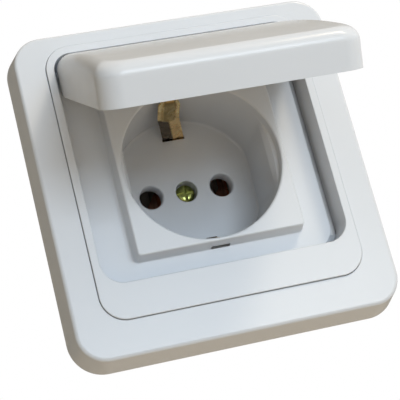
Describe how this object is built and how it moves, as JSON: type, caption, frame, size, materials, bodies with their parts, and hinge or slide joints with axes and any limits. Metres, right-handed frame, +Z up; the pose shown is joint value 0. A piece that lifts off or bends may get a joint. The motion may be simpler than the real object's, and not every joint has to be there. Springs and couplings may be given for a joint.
{
  "type": "wall socket with hinged cover",
  "caption": "Flush earthed wall socket with a square frame, a round plug well and a hinged lid, with its support ring, base, contacts and claws.",
  "frame": {"origin": "on the axis of the plug well, in the plane of the wall's surface", "axes": "+X to the right and +Z up as seen from the room, +Y into the wall, so the front faces -Y"},
  "size_m": [0.0826, 0.0942, 0.0846],
  "materials": {
    "white_plastic": "glossy white moulding",
    "base_plastic": "matt grey moulding",
    "brass": "bright brass strip and turned brass",
    "contact_metal": "copper-coloured sheet",
    "steel": "zinc-plated steel"
  },
  "bodies": {
    "socket": {"outer_frame": "white_plastic", "insert_frame": "white_plastic", "socket_cover": "white_plastic", "hinge_pin_left": "steel", "hinge_pin_right": "steel", "centre_screw": "brass", "centre_bush": "brass", "socket_base": "base_plastic", "support_ring": "steel", "earth_strap": "brass", "contact_left": "contact_metal", "contact_right": "contact_metal", "terminal_left": "brass", "terminal_right": "brass", "terminal_screw_left": "steel", "terminal_screw_right": "steel", "earth_terminal": "brass", "earth_terminal_screw": "steel", "claw_screw_left": "steel", "claw_screw_right": "steel"},
    "cover_lid": {"lid": "white_plastic"},
    "left_claw": {"claw_left": "steel"},
    "right_claw": {"claw_right": "steel"}
  },
  "joints": [
    {"name": "lid_hinge", "type": "hinge", "parent": "socket", "child": "cover_lid", "pos_m": [0, -0.00855, 0.02715], "axis": [-1, 0, 0], "range_deg": [-63, 28]},
    {"name": "left_claw_swing", "type": "hinge", "parent": "socket", "child": "left_claw", "pos_m": [-0.0237, -0.0005, 0], "axis": [0, 0, 1], "range_deg": [0, 12]},
    {"name": "right_claw_swing", "type": "hinge", "parent": "socket", "child": "right_claw", "pos_m": [0.0237, -0.0005, 0], "axis": [0, 0, -1], "range_deg": [0, 12]}
  ]
}
